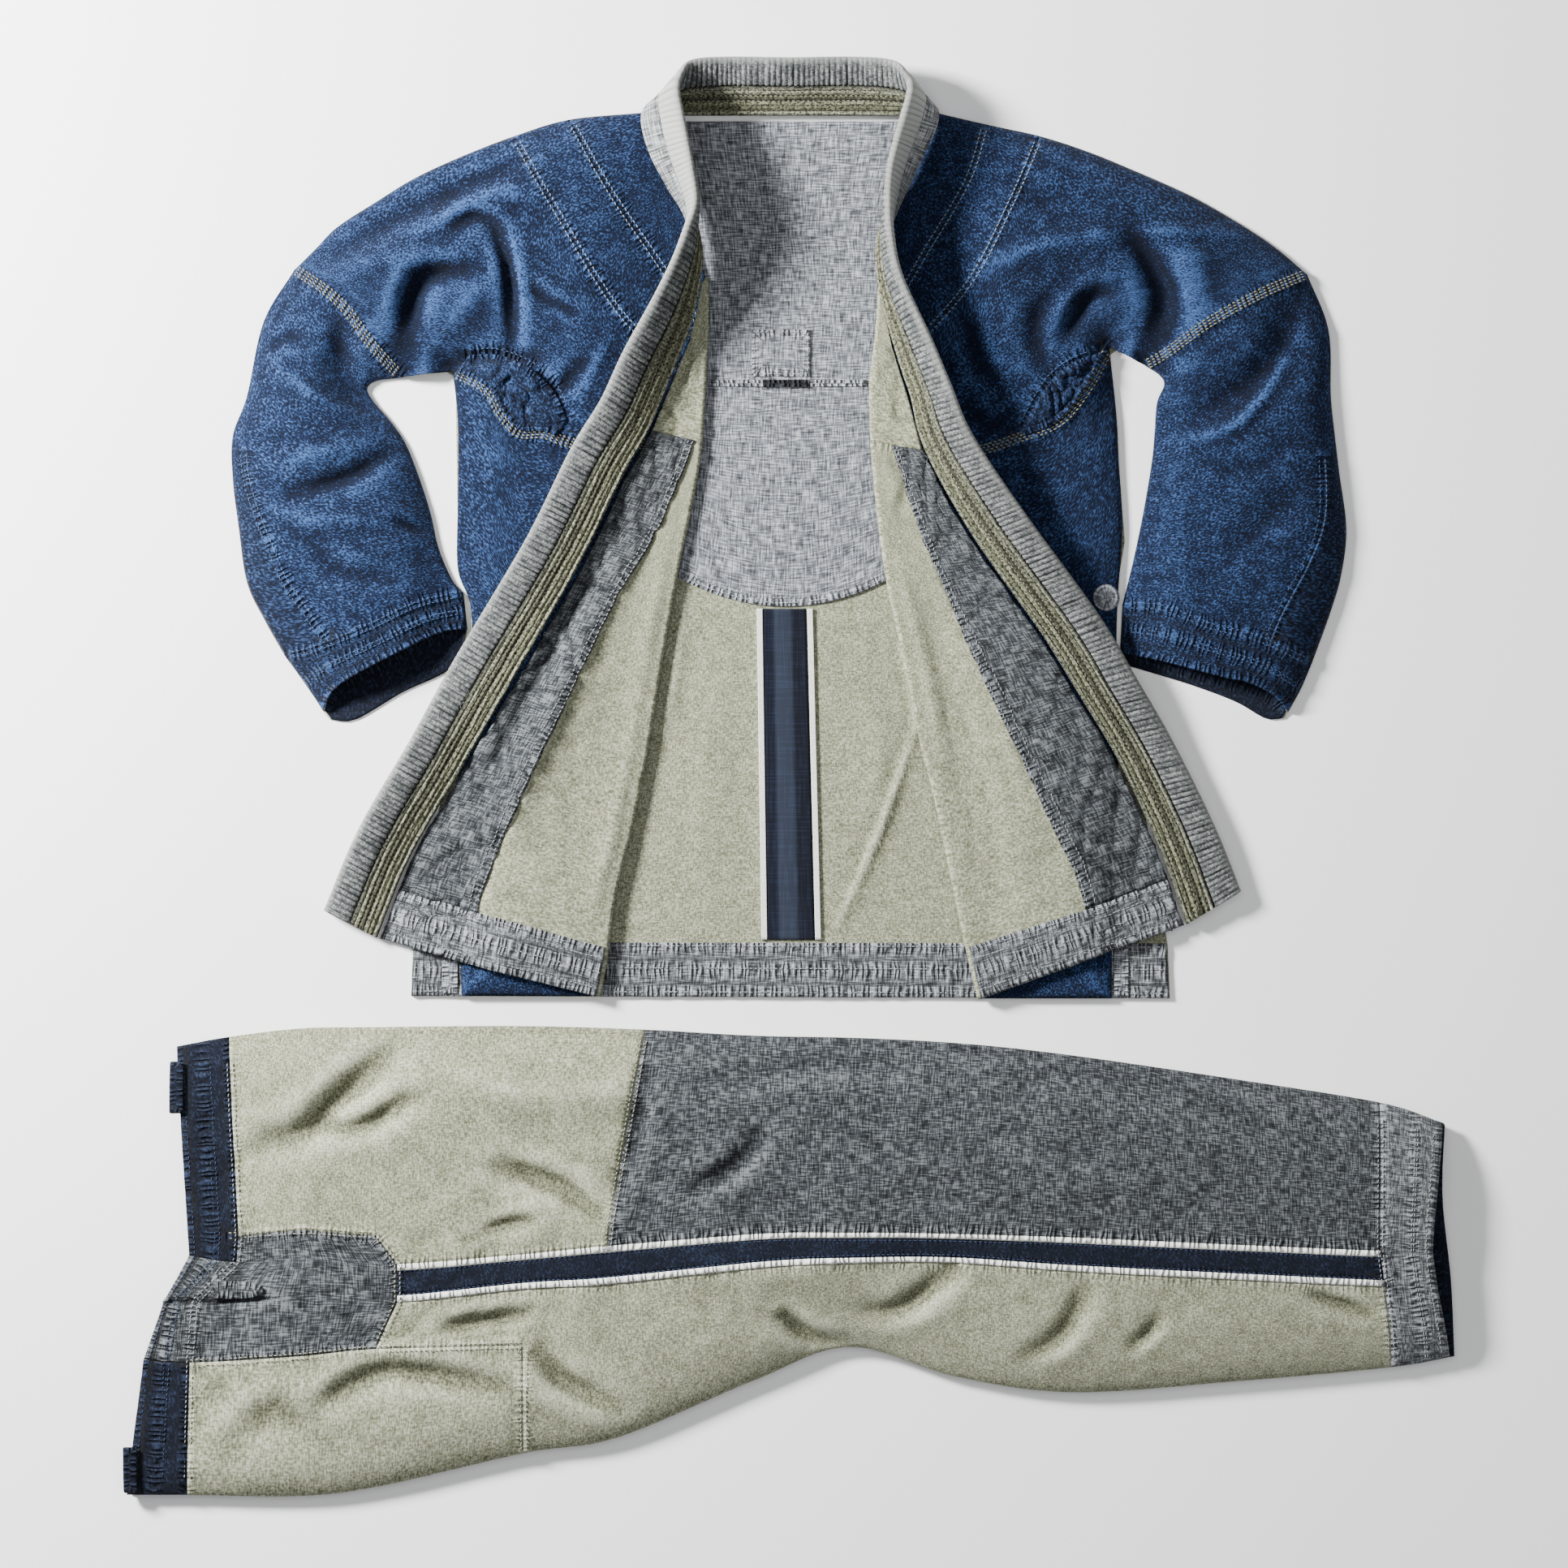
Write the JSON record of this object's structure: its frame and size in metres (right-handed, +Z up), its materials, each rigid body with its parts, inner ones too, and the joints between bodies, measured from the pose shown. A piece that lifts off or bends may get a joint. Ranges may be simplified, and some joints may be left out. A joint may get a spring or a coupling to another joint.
{
  "type": "jiu-jitsu gi jacket and trousers",
  "caption": "Jiu-jitsu gi laid flat: jacket on its back with both fronts turned open and a stiff lapel band round the neck, and trousers folded in half below it.",
  "frame": {"origin": "on the table, under the middle of the whole set as laid out", "axes": "+Z up from the table, +Y from the trousers towards the jacket's collar, +X to the right as seen from above"},
  "size_m": [1.1144, 1.205, 0.0629],
  "materials": {
    "denim": "blue twill, washed and mottled",
    "denim_dark": "darker blue twill",
    "cream": "undyed slub cotton",
    "grey_weave": "grey heathered plain weave",
    "grey_weave_dark": "dark grey heathered plain weave",
    "ribbed_grey": "pale grey ribbed cotton",
    "stitched_rows": "olive cotton with parallel sewn rows",
    "white_piping": "off-white cotton piping",
    "navy": "navy woven tape",
    "black_tape": "black woven tape"
  },
  "bodies": {
    "root": {"back_hem_band": "grey_weave", "back_lining": "grey_weave", "back_panel": "cream", "back_piping_left": "white_piping", "back_piping_right": "white_piping", "back_stripe": "navy", "belt_loop_back": "navy", "belt_loop_front": "navy", "collar_rim": "ribbed_grey", "collar_striped": "stitched_rows", "cuff_left": "denim_dark", "cuff_right": "denim_dark", "front_facing_left": "grey_weave_dark", "front_facing_right": "grey_weave_dark", "front_hem_band_left": "grey_weave", "front_hem_band_right": "grey_weave", "front_left": "denim", "front_right": "denim", "front_upper_inside_left": "cream", "front_upper_inside_right": "cream", "front_upper_left": "denim", "front_upper_right": "denim", "gusset_left": "denim_dark", "gusset_right": "denim_dark", "hanger_loop": "black_tape", "hip_patch": "grey_weave_dark", "knee_panel": "grey_weave_dark", "lapel_left_rim": "ribbed_grey", "lapel_left_striped": "stitched_rows", "lapel_right_rim": "ribbed_grey", "lapel_right_striped": "stitched_rows", "leg_hem_band": "grey_weave", "lining_seam_fold": "grey_weave", "name_patch": "grey_weave", "neck_yoke_left": "denim", "neck_yoke_right": "denim", "round_badge": "ribbed_grey", "seat_patch": "cream", "shoulder_strip_left": "denim", "shoulder_strip_right": "denim", "side_piping_above": "white_piping", "side_piping_below": "white_piping", "side_stripe": "navy", "side_vent_tape_left": "ribbed_grey", "side_vent_tape_right": "ribbed_grey", "sleeve_forearm_panel_left": "denim_dark", "sleeve_forearm_panel_right": "denim_dark", "sleeve_left": "denim", "sleeve_right": "denim", "trouser_back": "cream", "trouser_front": "cream", "trouser_lower_half": "cream", "waist_tab": "grey_weave_dark", "waistband_back": "navy", "waistband_front": "navy"}
  },
  "joints": []
}
